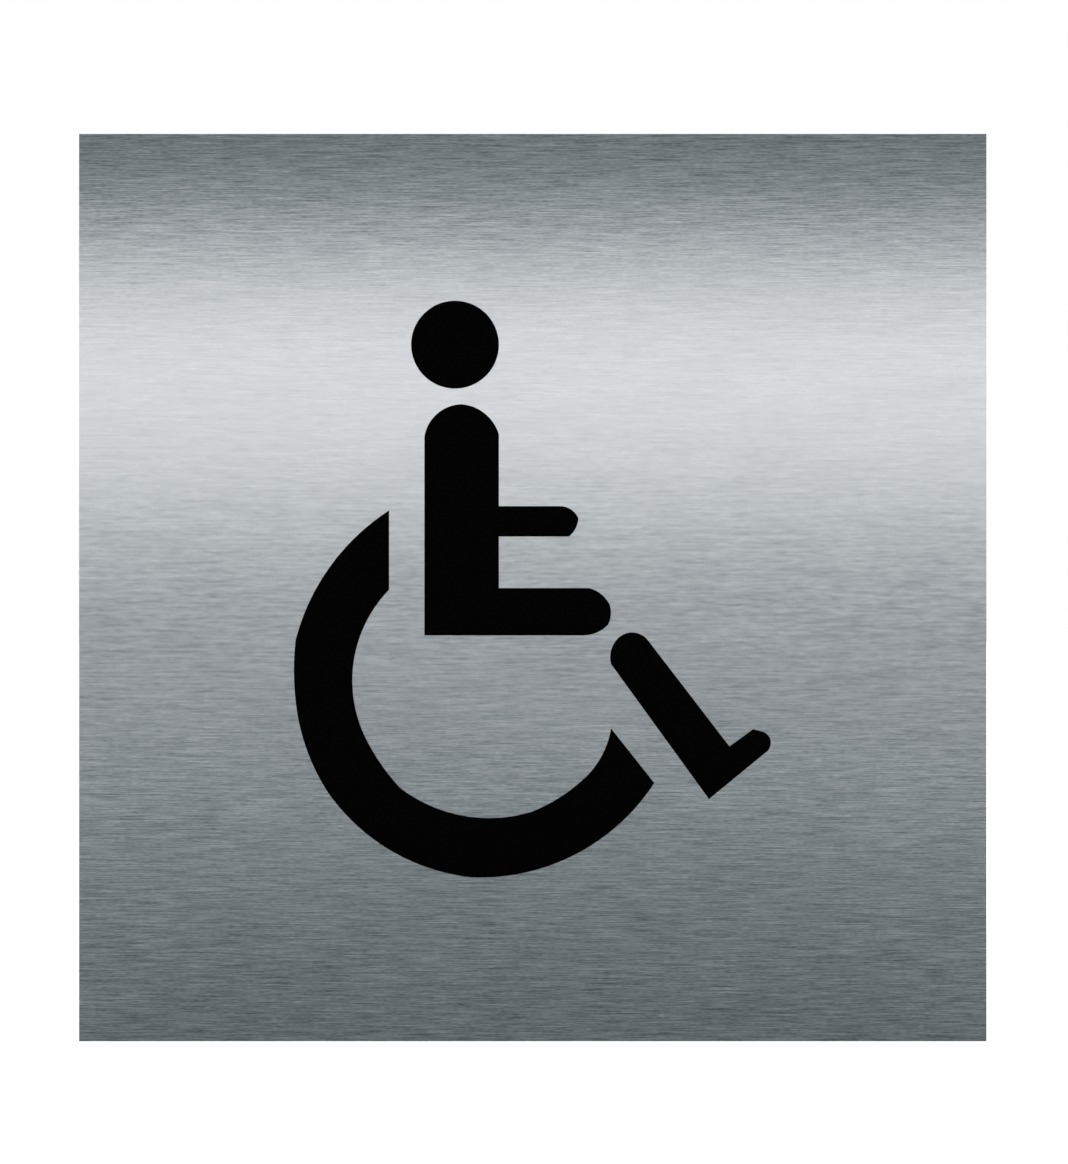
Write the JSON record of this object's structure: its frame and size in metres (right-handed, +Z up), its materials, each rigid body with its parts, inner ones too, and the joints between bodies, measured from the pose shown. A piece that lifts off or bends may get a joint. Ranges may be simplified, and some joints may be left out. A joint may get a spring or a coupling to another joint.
{
  "type": "disabled access sign",
  "caption": "Square brushed metal sign plate with a black wheelchair figure in cut film, held to a wall or door by strips of foam tape on its back.",
  "frame": {"origin": "in the wall's surface at the middle of the sign, on the adhesive face of the middle tape strip", "axes": "+Z up, +X to the right of someone who reads the sign, +Y into the wall; the printed face looks along -Y"},
  "size_m": [0.15, 0.0031, 0.15],
  "materials": {
    "brushed_aluminium": "brushed in level strokes, satin",
    "black_film": "satin cut film",
    "foam_tape": "matt closed-cell foam"
  },
  "bodies": {
    "root": {"face_plate": "brushed_aluminium", "head_film": "black_film", "torso_film": "black_film", "wheel_film": "black_film", "leg_film": "black_film", "tape_top": "foam_tape", "tape_middle": "foam_tape", "tape_bottom": "foam_tape"}
  },
  "joints": []
}
